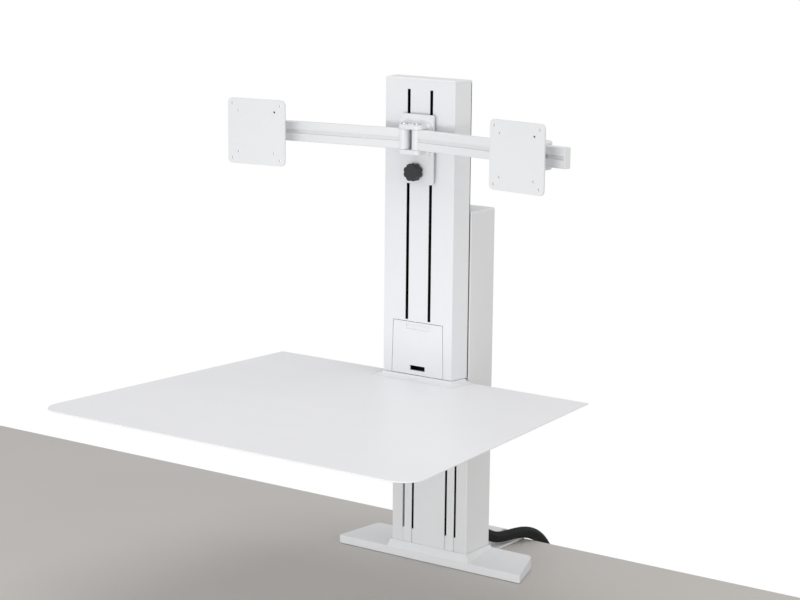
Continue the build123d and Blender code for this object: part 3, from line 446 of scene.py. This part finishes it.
def swept_tube(name, line, section, sides, material):
    mesh = bpy.data.meshes.new(name)
    bm = bmesh.new()
    uv = bm.loops.layers.uv.new("UVMap")
    rings, travels = [], []
    travel = 0.0
    forward = (line[1] - line[0]).normalized()
    across = forward.cross(Vector((0.0, 0.0, 1.0))).normalized()
    for index, place in enumerate(line):
        ahead = line[min(index + 1, len(line) - 1)]
        behind = line[max(index - 1, 0)]
        forward = (ahead - behind).normalized()
        across = (across - forward * across.dot(forward)).normalized()
        upward = forward.cross(across)
        if index:
            travel += (place - behind).length
        ring = []
        for k in range(sides):
            angle = 2 * math.pi * k / sides
            reach = section(travel, angle)
            ring.append(bm.verts.new(place + reach * (math.cos(angle) * across + math.sin(angle) * upward)))
        rings.append(ring)
        travels.append(travel)
    for index in range(len(rings) - 1):
        low, high = rings[index], rings[index + 1]
        for k in range(sides):
            after = (k + 1) % sides
            face = bm.faces.new((low[k], low[after], high[after], high[k]))
            face.smooth = True
            turn = (k, k + 1, k + 1, k)
            along = (travels[index], travels[index], travels[index + 1], travels[index + 1])
            for loop, around, way in zip(face.loops, turn, along):
                loop[uv].uv = (around / sides, way)
    bm.faces.new(reversed(rings[0]))
    bm.faces.new(rings[-1])
    bmesh.ops.recalc_face_normals(bm, faces=bm.faces[:])
    bm.to_mesh(mesh)
    bm.free()
    mesh.materials.append(material)
    return linked(name, mesh)


def woven(name, colour, painted_glint):
    """Woven monofilament: two crossing sets of strands, with painted shade in the gaps between them, a
    painted glint along each, and dust.
    """
    g = Graph(name)
    flat = g.node("ShaderNodeUVMap", uv_map="UVMap").outputs[0]
    split = g.node("ShaderNodeSeparateXYZ")
    g.link(flat, split.inputs[0])
    around = g.math("MULTIPLY", split.outputs[0], 2 * math.pi * 24)
    along = g.math("MULTIPLY", split.outputs[1], 2 * math.pi / 0.009)
    one = g.math("SINE", g.math("ADD", around, along))
    other = g.math("SINE", g.math("SUBTRACT", around, along))
    weave = g.math("MAXIMUM", one, other)
    strand = g.math("SINE", g.math("MULTIPLY", g.math("ADD", around, along), 5.0))
    dust = g.noise(70.0, 4.0, 0.6)
    # Painted shade: the gaps between the strands are painted darker than their crowns.
    base = g.mix(g.ramp(weave, 0.2, 1.0), shade(colour, 0.3), colour)
    # Painted highlight: a glint colour painted along each strand's crest.
    base = g.mix(g.ramp(strand, 0.4, 1.0, 0.0, 0.4), base, painted_glint)
    base = g.mix(g.ramp(dust, 0.5, 0.75, 0.0, 0.25), base, shade(colour, 2.2))
    g.put(base, g.bsdf.inputs["Base Color"])
    g.put(g.math("MULTIPLY_ADD", dust, 0.2, 0.3), g.bsdf.inputs["Roughness"])
    set_bsdf(g, specular=0.35)
    normal = g.bump(weave, 0.8, 0.0006)
    g.put(g.bump(strand, 0.35, 0.00012, normal), g.bsdf.inputs["Normal"])
    return g.mat


sleeve_line = centreline("sleeve_line", SLEEVE_ROUTE)
# The sleeve's near-black colour and the colour of its painted glint.
sleeve = swept_tube(
    "woven_sleeve", sleeve_line, sleeve_section, SLEEVE_SIDES,
    woven("woven_black", (0.006, 0.006, 0.007), (0.05, 0.05, 0.055)),
)
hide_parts("cable_sleeve")
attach(sleeve, "base")


# ---------------------------------------------------------------- clamp screws

PITCH, THREAD_DEPTH, NECK, NECK_IN = 0.003, 0.00085, 0.0068, 0.001
SCREW_SIDES, RINGS_PER_TURN = 36, 10


def thread_depth(height, angle):
    """How far the thread's flank is cut in at this place: flat crests, flat roots, sloping flanks."""
    phase = (height / PITCH - angle / (2 * math.pi)) % 1.0
    flank = abs(2.0 * phase - 1.0)
    return THREAD_DEPTH * min(1.0, max(0.0, 1.6 * flank - 0.3))


def clamp_screw(side, material):
    """Rolled right-hand thread up to a plain neck, which turns in the clamp pad."""
    node = f"clamp_screw_{side}"
    low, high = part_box(node)
    middle, radius = (low + high) / 2, (high.x - low.x) / 2
    neck_z = high.z - NECK
    count = int((neck_z - low.z) / PITCH * RINGS_PER_TURN)
    levels = [(low.z + (neck_z - low.z) * k / count, radius, True) for k in range(count + 1)]
    levels += [
        (neck_z + 0.0002, radius - NECK_IN, False),
        (high.z - 0.0005, radius - NECK_IN, False),
        (high.z, radius - NECK_IN - 0.0005, False),
    ]
    bm = bmesh.new()
    rings = []
    for z, reach, threaded in levels:
        ring = []
        for k in range(SCREW_SIDES):
            angle = 2 * math.pi * k / SCREW_SIDES
            near_end = min(1.0, (z - low.z) / PITCH)
            cut = thread_depth(z, angle) if threaded else 0.0
            r = reach - cut - (0.0006 * (1.0 - near_end) if threaded else 0.0)
            ring.append(bm.verts.new((middle.x + r * math.cos(angle), middle.y + r * math.sin(angle), z)))
        rings.append(ring)
    for lower, upper in zip(rings, rings[1:]):
        for k in range(SCREW_SIDES):
            after = (k + 1) % SCREW_SIDES
            bm.faces.new((lower[k], lower[after], upper[after], upper[k])).smooth = True
    bm.faces.new(reversed(rings[0]))
    bm.faces.new(rings[-1])
    mesh = bpy.data.meshes.new(f"screw_{side}")
    bm.to_mesh(mesh)
    bm.free()
    mesh.materials.append(material)
    made = linked(f"threaded_screw_{side}", mesh)
    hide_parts(node)
    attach(made, node)


for side in ("left", "right"):
    clamp_screw(side, zinc)


# ---------------------------------------------------------------- stage

DESK_EDGE = 0.236
DESK_T = 0.030


def stage_box(name, low, high, material, bevel):
    mesh = bpy.data.meshes.new(name)
    bm = bmesh.new()
    bmesh.ops.create_cube(bm, size=1.0)
    for v in bm.verts:
        v.co = Vector(low[i] + (v.co[i] + 0.5) * (high[i] - low[i]) for i in range(3))
    bmesh.ops.bevel(bm, geom=bm.edges[:], offset=bevel, segments=3, affect="EDGES")
    bm.to_mesh(mesh)
    bm.free()
    mesh.materials.append(material)
    linked(name, mesh)


def pale(name, colour, rough):
    g = Graph(name)
    cloud = g.noise(3.0, 3.0)
    g.put(g.mix(g.ramp(cloud, 0.3, 0.7), colour, shade(colour, 0.985)), g.bsdf.inputs["Base Color"])
    g.put(g.math("MULTIPLY_ADD", cloud, 0.05, rough), g.bsdf.inputs["Roughness"])
    return g.mat


desk_pale = pale("desk_pale", (0.56, 0.54, 0.515), 0.5)
stage_box("stage_desk", (-1.5, -1.3, -DESK_T), (1.5, DESK_EDGE, 0.0), desk_pale, 0.002)


# ---------------------------------------------------------------- light

world = bpy.data.worlds.new("studio")
bpy.context.scene.world = world
world.use_nodes = True
backdrop = world.node_tree.nodes["Background"]
backdrop.inputs["Color"].default_value = (1.0, 1.0, 1.0, 1.0)
seen = world.node_tree.nodes.new("ShaderNodeLightPath")
level = world.node_tree.nodes.new("ShaderNodeMapRange")
level.inputs["To Min"].default_value = 0.55
level.inputs["To Max"].default_value = 1.0
world.node_tree.links.new(seen.outputs["Is Camera Ray"], level.inputs["Value"])
world.node_tree.links.new(level.outputs[0], backdrop.inputs["Strength"])
bpy.context.scene.view_settings.view_transform = "Standard"


def area_light(name, place, target, size, power, colour=(1.0, 1.0, 1.0)):
    data = bpy.data.lights.new(name, "AREA")
    data.shape = "RECTANGLE"
    data.size, data.size_y = size
    data.energy = power
    data.color = colour
    made = linked(name, data)
    made.location = place
    made.rotation_mode = "QUATERNION"
    made.rotation_quaternion = (Vector(target) - Vector(place)).to_track_quat("-Z", "Y")
    made.visible_camera = False


area_light("left", (-2.4, -1.6, 1.9), (0, 0, 0.35), (2.0, 2.0), 9.0, (0.98, 0.99, 1.0))
area_light("top", (0.0, -0.2, 3.2), (0, 0, 0.3), (2.6, 2.6), 28.0)
area_light("right", (3.0, -0.8, 1.4), (0, 0, 0.4), (2.0, 2.0), 22.0, (1.0, 0.95, 0.89))
area_light("front", (0.2, -3.4, 0.45), (0, 0, 0.1), (2.4, 1.2), 17.0, (0.985, 0.99, 1.0))
area_light("under", (0.4, -2.6, 0.36), (0, 0, 0.10), (1.2, 0.5), 14.0)


# ---------------------------------------------------------------- camera

AZIMUTH, ELEVATION, ROLL = math.radians(35.31), math.radians(11.13), math.radians(0.59)
DISTANCE, AIM = 4.0001, Vector((-0.0712, 0.0, 0.4926))
LENS_MM, SENSOR_MM = 97.17, 36.0

back = Vector((
    math.sin(AZIMUTH) * math.cos(ELEVATION),
    -math.cos(AZIMUTH) * math.cos(ELEVATION),
    math.sin(ELEVATION),
))
right = Vector((math.cos(AZIMUTH), math.sin(AZIMUTH), 0.0))
up = back.cross(right)
right, up = (
    math.cos(ROLL) * right + math.sin(ROLL) * up,
    -math.sin(ROLL) * right + math.cos(ROLL) * up,
)
camera_data = bpy.data.cameras.new("camera")
camera_data.sensor_width = SENSOR_MM
camera_data.lens = LENS_MM
camera = linked("camera", camera_data)
camera.rotation_mode = "QUATERNION"
basis = (right, up, back)
camera.rotation_quaternion = Matrix([[axis[i] for axis in basis] for i in range(3)]).to_quaternion()
camera.location = AIM + back * DISTANCE
bpy.context.scene.camera = camera
